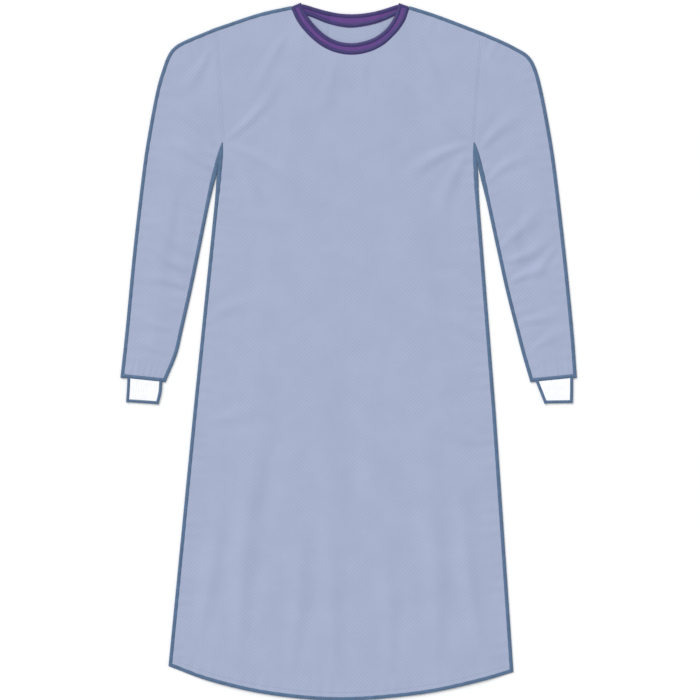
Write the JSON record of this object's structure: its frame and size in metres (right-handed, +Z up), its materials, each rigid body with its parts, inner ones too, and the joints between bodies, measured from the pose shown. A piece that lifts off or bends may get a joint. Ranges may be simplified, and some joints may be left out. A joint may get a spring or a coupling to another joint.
{
  "type": "surgical gown laid flat",
  "caption": "Long-sleeved surgical gown laid flat, front up, with neck binding, lapped back, knitted cuffs, waist ties and a curved hem.",
  "frame": {"origin": "middle of the gown's outline seen from above, on the surface that it lies on", "axes": "+Y from hem to neck, +X to the right seen from above with the neck away, +Z up out of the front"},
  "size_m": [0.8471, 1.3015, 0.0059],
  "materials": {
    "gown_cloth": "matt blue-grey nonwoven",
    "binding_cloth": "matt purple binding",
    "cuff_knit": "soft white rib knit"
  },
  "bodies": {
    "root": {"front": "gown_cloth", "back_left": "gown_cloth", "back_right": "gown_cloth", "sleeve_left": "gown_cloth", "sleeve_right": "gown_cloth", "cuff_left": "cuff_knit", "cuff_right": "cuff_knit", "neck_binding": "binding_cloth", "waist_tie_outer": "gown_cloth", "waist_tie_inner": "gown_cloth"}
  },
  "joints": []
}
